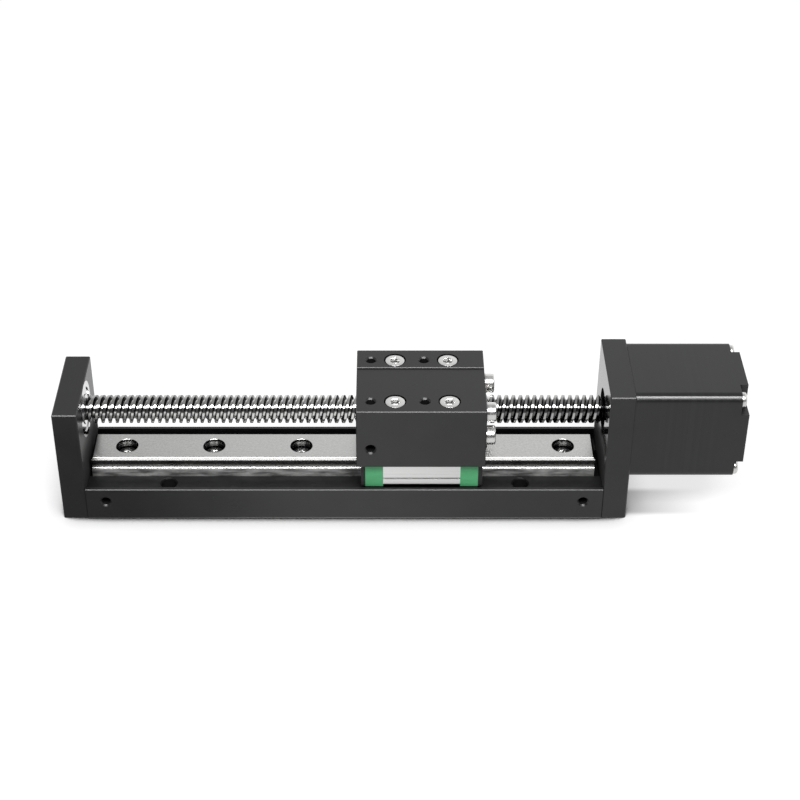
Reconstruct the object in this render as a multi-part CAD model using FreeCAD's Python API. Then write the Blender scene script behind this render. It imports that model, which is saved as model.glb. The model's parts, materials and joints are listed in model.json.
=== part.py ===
"""Lead screw linear actuator: a channel base with a profile rail, a recirculating guide carriage,
a two start lead screw and a square stepper motor. Millimetres. X runs along the screw, Y across,
Z up. The origin lies on the underside, midway between the outer faces of the two end plates."""
import FreeCAD, Part
import math
import os

from FreeCAD import Vector

# Clearances
fit_gap = 0.02              # radial gap of a seated or screwed joint
run_gap = 0.05              # radial gap of a running fit
slot_gap = 0.10             # side gap where a piece drops into a groove

# End plates and base
plate_span = 160.0          # outer face to outer face
idle_plate_thick = 7.0
motor_plate_thick = 7.0
plate_width = 29.0
idle_plate_rise = 8.2       # plate tops above the screw axis
motor_plate_rise = 14.2
plate_chamfer = 0.25
base_height = 10.5
wall_thick = 1.2
guide_wall_gap = 0.3        # guide block to the inside of each wall
floor_height = 8.4
groove_depth = 1.7          # seat of the rail below the floor
base_top_chamfer = 0.2
base_foot_chamfer = 0.5
foot_hole_dia = 4.5
foot_hole_pitch = 100.0
foot_hole_spread = 18.6
foot_hole_chamfer = 0.3
side_hole_edge = 5.5        # from each end of the base
side_hole_height = 6.2
side_hole_depth = 5.0

# Metric screws and free tapped holes
m3_dia = 3.0
m3_core = 2.5
m3_clear = 3.4
m3_head_dia = 5.5
m3_head_height = 3.0
m3_socket = 2.5             # across flats
m3_socket_depth = 1.5
m3_counterbore = 6.2
low_head_height = 2.0       # low heads of the rail's screws
low_socket = 2.0
low_socket_depth = 1.1
tap_chamfer = 0.4
head_sink = 0.2             # head top below the face it is counterbored in
plate_screw_grip = 6.2      # thread held in the base
plate_screw_spread = 15.0
plate_screw_height = 3.8
hole_spare = 0.5            # depth left past a screw's tip

# Profile rail
rail_left_gap = 0.85        # from each end plate
rail_right_gap = 1.75
rail_width = 12.0
rail_height = 8.0
rail_chamfer = 0.55
rail_pitch = 25.0
rail_hole_edge = 6.0        # least distance from a rail end to a screw
rail_hole_dia = 3.5
rail_bore_dia = 6.0
rail_bore_depth = 4.5
rail_bore_chamfer = 0.25
rail_screw_grip = 4.5       # thread held in the base

# Guide block
ball_dia = 2.0
ball_drop = 2.9             # ball row below the rail top
ball_pitch = 2.1
ball_count = 9              # in each row
guide_side_gap = 0.3
guide_top_gap = 0.7
guide_len = 21.7
guide_width = 27.0
guide_crown = 4.3           # steel above the room for the rail
guide_leg = 3.8             # underside above the rail's seat
guide_foot_chamfer = 1.0
guide_top_chamfer = 0.5
guide_line_rise = 2.95      # side line above the underside
guide_line_size = 0.5
return_offset = 3.65        # return row outside the loaded row
return_rise = 0.8
return_dia = 2.3
guide_bolt_x = 15.0
guide_bolt_y = 20.0
cap_len = 5.0
cap_foot = 3.4              # underside above the rail's seat
cap_top_drop = 0.3
cap_corner = 0.6
cap_rail_gap = 0.4
turn_depth = 2.4            # ball turnaround pocket in each end cap
seal_len = 1.2
seal_margin = 0.3
seal_gap = 0.15
cap_screw_dia = 2.0
cap_screw_head = 3.6
cap_screw_head_height = 1.0
cap_screw_grip = 2.0        # thread held in the guide block
cap_screw_spread = 9.0
cap_screw_height = 10.8     # above the rail's seat

# Carriage
carriage_x = 21.5           # centre of the carriage as photographed
guide_offset = 0.3          # guide block centre from the carriage centre
carriage_len = 36.0
carriage_rise = 9.9         # top above the screw axis
carriage_skirt = 1.0        # how far the sides reach down past the guide block's top
skirt_wall = 1.4
carriage_chamfer = 0.2
strip_inner = 6.2           # inner edge of the raised strips
strip_height = 0.4
strip_chamfer = 0.15
table_hole_x = 15.0
table_hole_y = 20.0
table_hole_edge = 4.0       # first hole row from the left end
table_hole_depth = 7.0
flag_hole_drop = 12.9       # below the carriage top
flag_hole_depth = 5.0
carriage_screw_grip = 3.2   # thread held in the guide block

# Lead screw and nut
screw_dia = 8.0
neck_dia = 6.4
journal_dia = 5.0
screw_end_gap = 0.4         # thread end to end plate
thread_chamfer = 0.8
thread_lead = 4.0
thread_starts = 2
thread_root_dia = 5.4
thread_crest = 0.75         # flat on top of a ridge, along the axis
thread_flank = 0.33         # slope on each side of a ridge, along the axis
nut_body_dia = 11.0
nut_body_len = 22.0
nut_flange_dia = 22.0
nut_flange_height = 16.0
nut_flange_thick = 4.0
nut_guide_gap = 0.1         # nut flange above the guide block
nut_bolt_radius = 8.0
nut_bolt_angle = 30.0       # from the horizontal
nut_screw_grip = 4.0        # thread held in the carriage

# Ball bearings: outer diameter, width, ball diameter and ball count
idle_bearing_dia = 16.0
idle_bearing_width = 5.0
idle_ball_dia = 2.8
idle_ball_count = 8
motor_bearing_dia = 13.0
motor_bearing_width = 4.0
motor_ball_dia = 2.0
motor_ball_count = 8
ring_share = 0.3            # ring wall at the rim, as a share of the space between bore and rim
ball_gap = 0.08
shield_thick = 0.3
shield_inset = 0.25
shield_gap = 0.2
idle_hole_dia = 7.0         # clears the journal's end in the idle plate

# Motor
motor_size = 28.0
motor_corner = 2.5
front_cap_len = 7.0
stator_len = 18.0
rear_cap_len = 6.4
pilot_dia = 22.0
pilot_height = 1.8
pilot_spare = 0.2
plate_bore_dia = 12.0
motor_bolt_edge = 2.5       # screw centres in from the motor's sides
motor_screw_dia = 2.5
motor_screw_clear = 2.7
motor_screw_head = 4.4
motor_screw_head_height = 1.4
motor_screw_grip = 4.5      # thread held in the motor plate
corner_pocket = 6.0
corner_pocket_depth = 2.3
cap_wall = 2.0              # thinnest, at the middle of each side
front_cavity = 3.5
rear_cavity = 3.0
rear_wall = 1.0
bearing_boss = 1.5          # wall of the rear bearing's boss
washer_thick = 0.5
washer_width = 1.2
pole_count = 8
pole_stem = 2.6
pole_shoe = 0.9
shoe_gap_angle = 9.0
core_wall = 2.2             # lamination outside the winding slots
rotor_dia = 16.0
air_gap = 0.1
rotor_teeth = 50
tooth_depth = 0.35
rotor_stack_len = 5.7
magnet_len = 2.0
magnet_dia = 14.4
insulator_thick = 0.8
coil_thick = 1.3
coil_margin = 0.15
socket_width = 11.8
socket_depth = 4.6
socket_length = 5.4
socket_wall = 0.7
socket_embed = 1.6
socket_inset = 0.3          # from the rear cap's front face
pin_size = 0.5
pin_pitch = 2.0
pin_count = 4

# Places worked out from the sizes above
idle_outer = -plate_span / 2
idle_inner = idle_outer + idle_plate_thick
motor_outer = plate_span / 2
motor_inner = motor_outer - motor_plate_thick
head_room = head_sink + m3_head_height
rail_left = idle_inner + rail_left_gap
rail_right = motor_inner - rail_right_gap
rail_holes = 1 + int(2 * (min(-rail_left, rail_right) - rail_hole_edge) / rail_pitch)
rail_seat = floor_height - groove_depth
rail_top = rail_seat + rail_height
base_width = guide_width + 2 * (guide_wall_gap + wall_thick)
ball_height = rail_top - ball_drop
ball_side = rail_width / 2 + guide_side_gap / 2
return_side = ball_side + return_offset
return_height = ball_height + return_rise
guide_top = rail_top + guide_top_gap + guide_crown
axis_height = guide_top + nut_guide_gap + nut_flange_height / 2
idle_plate_height = axis_height + idle_plate_rise
motor_plate_height = axis_height + motor_plate_rise
guide_x = carriage_x + guide_offset
carriage_top = axis_height + carriage_rise
carriage_width = guide_width + 2 * (slot_gap + skirt_wall)
carriage_left = carriage_x - carriage_len / 2
carriage_right = carriage_x + carriage_len / 2
stator_front = motor_outer + front_cap_len
stator_rear = stator_front + stator_len
motor_end = stator_rear + rear_cap_len
cap_cavity_dia = motor_size - 2 * cap_wall
slot_dia = motor_size - 2 * core_wall
front_seat = stator_front - front_cavity - motor_bearing_width
rear_seat = motor_end - rear_wall
rotor_bore = journal_dia / 2 + fit_gap

parts = {}


def box(x0, x1, y0, y1, z0, z1):
    return Part.makeBox(x1 - x0, y1 - y0, z1 - z0, Vector(x0, y0, z0))


def rod_x(x0, x1, radius, y=0.0, z=axis_height):
    return Part.makeCylinder(radius, x1 - x0, Vector(x0, y, z), Vector(1, 0, 0))


def rod_y(y0, y1, radius, x, z):
    return Part.makeCylinder(radius, y1 - y0, Vector(x, y0, z), Vector(0, 1, 0))


def rod_z(z0, z1, radius, x, y):
    return Part.makeCylinder(radius, z1 - z0, Vector(x, y, z0), Vector(0, 0, 1))


def ring_x(x0, x1, inner, outer):
    return rod_x(x0, x1, outer).cut(rod_x(x0, x1, inner))


def turned(profile):
    """Solid turned round the screw axis from (x, radius) corners."""
    corners = [Vector(x, 0, axis_height + radius) for x, radius in profile]
    face = Part.Face(Part.makePolygon(corners + corners[:1]))
    return face.revolve(Vector(0, 0, axis_height), Vector(1, 0, 0), 360)


def chamfered(shape, size, wanted):
    """Chamfer every edge whose box passes the test."""
    edges = [edge for edge in shape.Edges if wanted(edge.BoundBox)]
    return shape.makeChamfer(size, edges)


def rounded(shape, size, wanted):
    edges = [edge for edge in shape.Edges if wanted(edge.BoundBox)]
    return shape.makeFillet(size, edges)


def same(a, b):
    return abs(a - b) < 1e-6


def grid(pitch_x, pitch_y):
    return [(x, y) for x in (-pitch_x / 2, pitch_x / 2) for y in (-pitch_y / 2, pitch_y / 2)]


def tapped_z(x, y, top, depth):
    """Core hole with a countersunk mouth, bored down from a face."""
    mouth = Part.makeCone(m3_core / 2, m3_core / 2 + tap_chamfer, tap_chamfer,
                          Vector(x, y, top - tap_chamfer), Vector(0, 0, 1))
    return rod_z(top - depth, top, m3_core / 2, x, y).fuse(mouth)


def tapped_front(x, z, face, depth):
    """Core hole with a countersunk mouth, bored into a front face."""
    mouth = Part.makeCone(m3_core / 2 + tap_chamfer, m3_core / 2, tap_chamfer,
                          Vector(x, face, z), Vector(0, 1, 0))
    return rod_y(face, face + depth, m3_core / 2, x, z).fuse(mouth)


def cap_screw(length, height=m3_head_height, flats=m3_socket, depth=m3_socket_depth):
    """Socket head screw along -Z with the underside of its head at the origin."""
    head = Part.makeCylinder(m3_head_dia / 2, height)
    rim = 0.3
    head = head.makeChamfer(rim, [edge for edge in head.Edges if same(edge.BoundBox.ZMin, height)])
    shank = Part.makeCylinder(m3_dia / 2, length, Vector(0, 0, -length))
    radius = flats / math.sqrt(3)
    corners = [Vector(radius * math.cos(math.radians(60 * k)), radius * math.sin(math.radians(60 * k)),
                      height - depth) for k in range(7)]
    socket = Part.Face(Part.makePolygon(corners)).extrude(Vector(0, 0, depth))
    return head.fuse(shank).cut(socket).removeSplitter()


def pan_screw(length, dia, head_dia, head_height):
    """Cross recess pan head screw along -Z with the underside of its head at the origin."""
    head = Part.makeCylinder(head_dia / 2, head_height)
    head = head.makeFillet(head_height * 0.45, [edge for edge in head.Edges
                                                if same(edge.BoundBox.ZMin, head_height)])
    shank = Part.makeCylinder(dia / 2, length, Vector(0, 0, -length))
    arm, half = head_dia * 0.3, head_dia * 0.07
    depth = head_height * 0.6
    cross = Part.makeBox(2 * arm, 2 * half, depth, Vector(-arm, -half, head_height - depth))
    cross = cross.fuse(Part.makeBox(2 * half, 2 * arm, depth, Vector(-half, -arm, head_height - depth)))
    return head.fuse(shank).cut(cross).removeSplitter()


def placed(shape, spot, direction):
    """Copy of a screw whose head points along direction."""
    copy = shape.copy()
    turn = FreeCAD.Rotation(Vector(0, 0, 1), Vector(*direction))
    copy.Placement = FreeCAD.Placement(Vector(*spot), turn)
    return copy


def group(shapes):
    return Part.makeCompound(shapes)


def rail_hole_places():
    first = -rail_pitch * (rail_holes - 1) / 2
    return [first + rail_pitch * k for k in range(rail_holes)]


def rail_space(x0, x1, side_gap, top_gap, bottom):
    """Block of room that a piece round the rail leaves for it."""
    half = rail_width / 2 + side_gap
    return box(x0, x1, -half, half, bottom, rail_top + top_gap)


def motor_corners():
    half = motor_size / 2 - motor_bolt_edge
    return [(y, axis_height + z) for y in (-half, half) for z in (-half, half)]


def motor_square(x0, x1):
    half = motor_size / 2
    shape = box(x0, x1, -half, half, axis_height - half, axis_height + half)
    return rounded(shape, motor_corner, lambda b: same(b.YLength, 0) and same(b.ZLength, 0))


# Base and end plates
def base_channel():
    half = base_width / 2
    shape = box(idle_inner, motor_inner, -half, half, 0, base_height)
    shape = chamfered(shape, base_top_chamfer,
                      lambda b: same(b.ZMin, base_height) and same(b.YLength, 0))
    shape = chamfered(shape, base_foot_chamfer, lambda b: same(b.ZMax, 0) and same(b.YLength, 0))
    inner = half - wall_thick
    shape = shape.cut(box(idle_inner, motor_inner, -inner, inner, floor_height, base_height))
    seat = rail_width / 2 + slot_gap
    shape = shape.cut(box(idle_inner, motor_inner, -seat, seat, rail_seat, floor_height))
    for x in rail_hole_places():
        tip = rail_seat - rail_screw_grip - hole_spare
        shape = shape.cut(rod_z(tip, rail_seat, m3_dia / 2 + fit_gap, x, 0))
    for x, y in grid(foot_hole_pitch, foot_hole_spread):
        mouth = Part.makeCone(foot_hole_dia / 2, foot_hole_dia / 2 + foot_hole_chamfer, foot_hole_chamfer,
                              Vector(x, y, floor_height - foot_hole_chamfer), Vector(0, 0, 1))
        shape = shape.cut(rod_z(0, floor_height, foot_hole_dia / 2, x, y).fuse(mouth))
    for x in (idle_inner + side_hole_edge, motor_inner - side_hole_edge):
        shape = shape.cut(tapped_front(x, side_hole_height, -half, side_hole_depth))
    reach = plate_screw_grip + hole_spare
    for y in (-plate_screw_spread / 2, plate_screw_spread / 2):
        radius = m3_dia / 2 + fit_gap
        shape = shape.cut(rod_x(idle_inner, idle_inner + reach, radius, y, plate_screw_height))
        shape = shape.cut(rod_x(motor_inner - reach, motor_inner, radius, y, plate_screw_height))
    return shape


def end_plate(x0, x1, height):
    half = plate_width / 2
    shape = box(x0, x1, -half, half, 0, height)
    return chamfered(shape, plate_chamfer, lambda b: same(b.ZMin, height) or (
        same(b.XLength, 0) and same(b.YLength, 0)))


def plate_screw_holes(x0, x1, outer, inward):
    """Clearance holes of the two base screws, counterbored from the outer face."""
    holes = []
    for y in (-plate_screw_spread / 2, plate_screw_spread / 2):
        holes.append(rod_x(x0, x1, m3_clear / 2, y, plate_screw_height))
        bore = sorted((outer, outer + inward * head_room))
        holes.append(rod_x(bore[0], bore[1], m3_counterbore / 2, y, plate_screw_height))
    return holes


def idle_end_plate():
    shape = end_plate(idle_outer, idle_inner, idle_plate_height)
    pocket = idle_inner - idle_bearing_width
    shape = shape.cut(rod_x(pocket, idle_inner, idle_bearing_dia / 2 + fit_gap))
    shape = shape.cut(rod_x(idle_outer, pocket, idle_hole_dia / 2))
    return shape.cut(plate_screw_holes(idle_outer, idle_inner, idle_outer, 1))


def motor_plate():
    shape = end_plate(motor_inner, motor_outer, motor_plate_height)
    pilot = motor_outer - pilot_height - pilot_spare
    shape = shape.cut(rod_x(pilot, motor_outer, pilot_dia / 2 + fit_gap))
    shape = shape.cut(rod_x(motor_inner, pilot, plate_bore_dia / 2))
    for y, z in motor_corners():
        tip = motor_outer - motor_screw_grip - hole_spare
        shape = shape.cut(rod_x(tip, motor_outer, motor_screw_dia / 2 + fit_gap, y, z))
    return shape.cut(plate_screw_holes(motor_inner, motor_outer, motor_outer, -1))


def plate_screws():
    idle_screw = cap_screw(idle_plate_thick - head_room + plate_screw_grip)
    motor_screw = cap_screw(motor_plate_thick - head_room + plate_screw_grip)
    screws = []
    for y in (-plate_screw_spread / 2, plate_screw_spread / 2):
        screws.append(placed(idle_screw, (idle_outer + head_room, y, plate_screw_height), (-1, 0, 0)))
        screws.append(placed(motor_screw, (motor_outer - head_room, y, plate_screw_height), (1, 0, 0)))
    return group(screws)


# Rail
def guide_rail():
    half = rail_width / 2
    shape = box(rail_left, rail_right, -half, half, rail_seat, rail_top)
    shape = chamfered(shape, rail_chamfer, lambda b: same(b.ZMin, rail_top))
    for side in (-ball_side, ball_side):
        shape = shape.cut(rod_x(rail_left, rail_right, ball_dia / 2 + run_gap, side, ball_height))
    for x in rail_hole_places():
        shape = shape.cut(rod_z(rail_seat, rail_top, rail_hole_dia / 2, x, 0))
        bore = rod_z(rail_top - rail_bore_depth, rail_top, rail_bore_dia / 2, x, 0)
        mouth = Part.makeCone(rail_bore_dia / 2, rail_bore_dia / 2 + rail_bore_chamfer, rail_bore_chamfer,
                              Vector(x, 0, rail_top - rail_bore_chamfer), Vector(0, 0, 1))
        shape = shape.cut(bore.fuse(mouth))
    return shape


def rail_screws():
    screw = cap_screw(rail_height - rail_bore_depth + rail_screw_grip,
                      low_head_height, low_socket, low_socket_depth)
    return group([placed(screw, (x, 0, rail_top - rail_bore_depth), (0, 0, 1)) for x in rail_hole_places()])


# Guide block
def guide_block():
    bottom = rail_seat + guide_leg
    x0, x1 = guide_x - guide_len / 2, guide_x + guide_len / 2
    half = guide_width / 2
    shape = box(x0, x1, -half, half, bottom, guide_top)
    shape = chamfered(shape, guide_foot_chamfer, lambda b: same(b.ZMax, bottom) and same(b.YLength, 0))
    shape = chamfered(shape, guide_top_chamfer, lambda b: same(b.ZMin, guide_top) and same(b.YLength, 0))
    shape = shape.cut(rail_space(x0, x1, guide_side_gap, guide_top_gap, bottom))
    line = bottom + guide_line_rise
    for side in (-1, 1):
        shape = shape.cut(rod_x(x0, x1, ball_dia / 2 + run_gap, side * ball_side, ball_height))
        shape = shape.cut(rod_x(x0, x1, return_dia / 2, side * return_side, return_height))
        near, far = sorted((side * half, side * (half - guide_line_size)))
        shape = shape.cut(box(x0, x1, near, far, line - guide_line_size / 2, line + guide_line_size / 2))
    tip = guide_top - carriage_screw_grip - hole_spare
    for x, y in grid(guide_bolt_x, guide_bolt_y):
        shape = shape.cut(rod_z(tip, guide_top, m3_dia / 2 + fit_gap, guide_x + x, y))
    depth = cap_screw_grip + hole_spare
    for y in (-cap_screw_spread / 2, cap_screw_spread / 2):
        z = rail_seat + cap_screw_height
        shape = shape.cut(rod_x(x0, x0 + depth, cap_screw_dia / 2 + fit_gap, y, z))
        shape = shape.cut(rod_x(x1 - depth, x1, cap_screw_dia / 2 + fit_gap, y, z))
    return shape


def guide_end(side):
    """End cap at one end of the guide block, with its two ball turnarounds."""
    face = guide_x + side * guide_len / 2
    x0, x1 = sorted((face, face + side * cap_len))
    bottom, top = rail_seat + cap_foot, guide_top - cap_top_drop
    half = guide_width / 2
    shape = box(x0, x1, -half, half, bottom, top)
    shape = chamfered(shape, cap_corner, lambda b: same(b.YLength, 0) and same(b.ZLength, 0))
    shape = shape.cut(rail_space(x0, x1, cap_rail_gap, guide_top_gap, bottom))
    t0, t1 = sorted((face, face + side * turn_depth))
    radius = ball_dia / 2 + run_gap
    for y in (-1, 1):
        turn = rod_x(t0, t1, radius, y * ball_side, ball_height)
        turn = turn.fuse(rod_x(t0, t1, radius, y * return_side, return_height))
        y0, y1 = sorted((y * ball_side, y * return_side))
        low = min(ball_height, return_height) - radius / 2
        turn = turn.fuse(box(t0, t1, y0, y1, low, max(ball_height, return_height) + radius / 2))
        shape = shape.cut(turn)
    for y in (-cap_screw_spread / 2, cap_screw_spread / 2):
        shape = shape.cut(rod_x(x0, x1, cap_screw_dia / 2 + slot_gap, y, rail_seat + cap_screw_height))
    return shape


def guide_seal(side):
    """Wiper plate outside an end cap."""
    face = guide_x + side * (guide_len / 2 + cap_len)
    x0, x1 = sorted((face, face + side * seal_len))
    bottom, top = rail_seat + cap_foot, guide_top - cap_top_drop - seal_margin
    half = guide_width / 2 - seal_margin
    shape = box(x0, x1, -half, half, bottom, top)
    shape = chamfered(shape, cap_corner, lambda b: same(b.YLength, 0) and same(b.ZLength, 0))
    shape = shape.cut(rail_space(x0, x1, seal_gap, seal_gap, bottom))
    for y in (-cap_screw_spread / 2, cap_screw_spread / 2):
        z = rail_seat + cap_screw_height
        shape = shape.cut(rod_x(x0, x1, cap_screw_head / 2 + slot_gap, y, z))
    return shape


def end_cap_screws():
    screw = pan_screw(cap_len + cap_screw_grip, cap_screw_dia, cap_screw_head, cap_screw_head_height)
    reach = guide_len / 2 + cap_len
    z = rail_seat + cap_screw_height
    return group([placed(screw, (guide_x + side * reach, y, z), (side, 0, 0))
                  for side in (-1, 1) for y in (-cap_screw_spread / 2, cap_screw_spread / 2)])


def guide_balls():
    """Loaded and returning rows on both sides of the rail."""
    balls = []
    first = guide_x - ball_pitch * (ball_count - 1) / 2
    for k in range(ball_count):
        for side in (-1, 1):
            x = first + ball_pitch * k
            balls.append(Part.makeSphere(ball_dia / 2, Vector(x, side * ball_side, ball_height)))
            balls.append(Part.makeSphere(ball_dia / 2, Vector(x, side * return_side, return_height)))
    return group(balls)


# Carriage and nut
def nut_bolt_places():
    y = nut_bolt_radius * math.cos(math.radians(nut_bolt_angle))
    z = nut_bolt_radius * math.sin(math.radians(nut_bolt_angle))
    return [(a * y, axis_height + b * z) for a in (-1, 1) for b in (-1, 1)]


def nut_flange(x0, x1, extra):
    """Round flange with its top and bottom cut flat."""
    half = nut_flange_height / 2 + extra
    radius = nut_flange_dia / 2 + extra
    return rod_x(x0, x1, radius).common(box(x0, x1, -radius, radius, axis_height - half, axis_height + half))


def carriage_block():
    half = carriage_width / 2
    bottom = guide_top - carriage_skirt
    shape = box(carriage_left, carriage_right, -half, half, bottom, carriage_top)
    shape = chamfered(shape, carriage_chamfer, lambda b: same(b.ZMin, carriage_top) or (
        same(b.XLength, 0) and same(b.YLength, 0)))
    shape = shape.cut(box(carriage_left, carriage_right, -strip_inner, strip_inner,
                          carriage_top - strip_height, carriage_top))
    shape = chamfered(shape, strip_chamfer, lambda b: same(b.ZMin, carriage_top) and (
        same(b.YLength, 0) and same(abs(b.YMin), strip_inner)))
    seat = guide_width / 2 + slot_gap
    shape = shape.cut(box(carriage_left, carriage_right, -seat, seat, bottom, guide_top))
    shape = shape.cut(rod_x(carriage_left, carriage_right, nut_body_dia / 2 + fit_gap))
    shape = shape.cut(nut_flange(carriage_right - nut_flange_thick, carriage_right, slot_gap))
    tip = carriage_right - nut_flange_thick - nut_screw_grip - hole_spare
    for y, z in nut_bolt_places():
        shape = shape.cut(rod_x(tip, carriage_right, m3_dia / 2 + fit_gap, y, z))
    sink = carriage_top - head_room
    for x, y in grid(guide_bolt_x, guide_bolt_y):
        shape = shape.cut(rod_z(guide_top, carriage_top, m3_clear / 2, guide_x + x, y))
        shape = shape.cut(rod_z(sink, carriage_top, m3_counterbore / 2, guide_x + x, y))
    first = carriage_left + table_hole_edge
    for x in (first, first + table_hole_x):
        for y in (-table_hole_y / 2, table_hole_y / 2):
            shape = shape.cut(tapped_z(x, y, carriage_top, table_hole_depth))
    return shape.cut(tapped_front(first, carriage_top - flag_hole_drop, -half, flag_hole_depth))


def carriage_screws():
    z = carriage_top - head_room
    screw = cap_screw(z - guide_top + carriage_screw_grip)
    return group([placed(screw, (guide_x + x, y, z), (0, 0, 1)) for x, y in grid(guide_bolt_x, guide_bolt_y)])


def lead_nut():
    flange = carriage_right - nut_flange_thick
    shape = nut_flange(flange, carriage_right, 0)
    shape = shape.fuse(rod_x(flange - nut_body_len, flange, nut_body_dia / 2))
    shape = shape.cut(rod_x(flange - nut_body_len, carriage_right, screw_dia / 2 + run_gap))
    for y, z in nut_bolt_places():
        shape = shape.cut(rod_x(flange, carriage_right, m3_dia / 2 + slot_gap, y, z))
    return shape.removeSplitter()


def nut_screws():
    screw = cap_screw(nut_flange_thick + nut_screw_grip)
    return group([placed(screw, (carriage_right, y, z), (1, 0, 0)) for y, z in nut_bolt_places()])


# Ball bearings
def bearing(name, x0, outer_dia, width, ball, count, shielded):
    """Rings, balls and, where it can be seen, shields of a deep groove bearing."""
    rim, bore = outer_dia / 2, journal_dia / 2 + fit_gap
    pitch = (rim + bore) / 2
    wall = (rim - bore) * ring_share
    middle = x0 + width / 2
    track = Part.makeTorus(pitch, ball / 2 + ball_gap, Vector(middle, 0, axis_height), Vector(1, 0, 0))
    parts[name + "_outer_ring"] = ring_x(x0, x0 + width, rim - wall, rim).cut(track)
    parts[name + "_inner_ring"] = ring_x(x0, x0 + width, bore, bore + wall).cut(track)
    balls = []
    for k in range(count):
        angle = 2 * math.pi * k / count
        spot = Vector(middle, pitch * math.cos(angle), axis_height + pitch * math.sin(angle))
        balls.append(Part.makeSphere(ball / 2, spot))
    parts[name + "_balls"] = group(balls)
    if shielded:
        left, right = x0 + shield_inset, x0 + width - shield_inset
        inner, outer = bore + wall + shield_gap, rim - wall - fit_gap
        parts[name + "_shields"] = group([ring_x(left, left + shield_thick, inner, outer),
                                          ring_x(right - shield_thick, right, inner, outer)])


# Motor
def motor_front_cap():
    shape = motor_square(motor_outer, stator_front)
    shape = shape.fuse(rod_x(motor_outer - pilot_height, motor_outer, pilot_dia / 2))
    shape = shape.cut(rod_x(stator_front - front_cavity, stator_front, cap_cavity_dia / 2))
    shape = shape.cut(rod_x(front_seat, stator_front, motor_bearing_dia / 2 + fit_gap))
    shape = shape.cut(rod_x(motor_outer - pilot_height, front_seat, neck_dia / 2 + cap_rail_gap))
    return cut_screw_ways(shape, motor_outer, stator_front)


def cut_screw_ways(shape, x0, x1):
    for y, z in motor_corners():
        shape = shape.cut(rod_x(x0, x1, motor_screw_clear / 2, y, z))
    return shape


def socket_window():
    """Room for the connector socket in the rear cap's back wall."""
    x0 = stator_rear + socket_inset
    z = socket_width / 2 + slot_gap
    return box(x0, x0 + socket_depth, motor_size / 2 - socket_embed, motor_size / 2,
               axis_height - z, axis_height + z)


def motor_rear_cap():
    shape = motor_square(stator_rear, motor_end)
    boss = motor_bearing_dia / 2 + bearing_boss
    shape = shape.cut(ring_x(stator_rear, stator_rear + rear_cavity, boss, cap_cavity_dia / 2))
    seat = rear_seat - washer_thick - motor_bearing_width
    shape = shape.cut(rod_x(min(seat, stator_rear), rear_seat, motor_bearing_dia / 2 + fit_gap))
    half = motor_size / 2
    pocket = motor_end - corner_pocket_depth
    for side in (-1, 1):
        for rise in (-1, 1):
            y0, y1 = sorted((side * (half - corner_pocket), side * half))
            z0, z1 = sorted((rise * (half - corner_pocket), rise * half))
            cutter = box(pocket, motor_end, y0, y1, axis_height + z0, axis_height + z1)
            shape = shape.cut(cutter)
    return cut_screw_ways(shape.cut(socket_window()), stator_rear, motor_end)


def motor_screws():
    head = motor_end - corner_pocket_depth
    length = head - motor_outer + motor_screw_grip
    screw = pan_screw(length, motor_screw_dia, motor_screw_head, motor_screw_head_height)
    return group([placed(screw, (head, y, z), (1, 0, 0)) for y, z in motor_corners()])


def pole_star(x0, x1):
    """Pole stems with their shoes, as cut from the lamination."""
    shoe_in = rotor_dia / 2 + air_gap
    stems = []
    for k in range(pole_count):
        stem = box(x0, x1, -pole_stem / 2, pole_stem / 2, axis_height + shoe_in, axis_height + slot_dia / 2)
        stem.rotate(Vector(0, 0, axis_height), Vector(1, 0, 0), 360 * k / pole_count)
        stems.append(stem)
    shoes = ring_x(x0, x1, shoe_in, shoe_in + pole_shoe)
    half = math.radians(shoe_gap_angle) / 2 * shoe_in
    for k in range(pole_count):
        gap = box(x0, x1, -half, half, axis_height, axis_height + shoe_in + pole_shoe)
        gap.rotate(Vector(0, 0, axis_height), Vector(1, 0, 0), 360 * (k + 0.5) / pole_count)
        shoes = shoes.cut(gap)
    star = shoes.fuse(stems)
    return star.cut(rod_x(x0, x1, shoe_in)).removeSplitter()


def stator_core():
    shape = motor_square(stator_front, stator_rear).cut(rod_x(stator_front, stator_rear, slot_dia / 2))
    shape = shape.fuse(pole_star(stator_front, stator_rear)).removeSplitter()
    return cut_screw_ways(shape, stator_front, stator_rear)


def stator_insulator(x0, x1):
    """Moulded plate on one end of the core, shaped like its poles."""
    rim = ring_x(x0, x1, slot_dia / 2 - insulator_thick, cap_cavity_dia / 2 - slot_gap)
    return rim.fuse(pole_star(x0, x1)).removeSplitter()


def stator_coils():
    """One coil round each pole stem, over both insulators."""
    x0, x1 = stator_front - insulator_thick, stator_rear + insulator_thick
    low = rotor_dia / 2 + air_gap + pole_shoe + coil_margin
    high = slot_dia / 2 - insulator_thick - coil_margin
    inner = pole_stem / 2 + coil_margin
    outer = inner + coil_thick
    coils = []
    reach = rod_x(x0 - coil_thick, x1 + coil_thick, high)
    for k in range(pole_count):
        coil = box(x0 - coil_thick, x1 + coil_thick, -outer, outer, axis_height + low, axis_height + high)
        coil = coil.common(reach).cut(box(x0, x1, -inner, inner, axis_height + low, axis_height + high))
        for turn in (-0.5, 0.5):
            flank = box(x0 - coil_thick, x1 + coil_thick, -coil_margin / 2, coil_margin / 2,
                        axis_height, axis_height + high)
            flank.rotate(Vector(0, 0, axis_height), Vector(1, 0, 0), 360 * turn / pole_count)
            coil = coil.cut(flank)
        coil = max(coil.Solids, key=lambda solid: solid.Volume)
        coil.rotate(Vector(0, 0, axis_height), Vector(1, 0, 0), 360 * k / pole_count)
        coils.append(coil)
    return group(coils)


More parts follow.
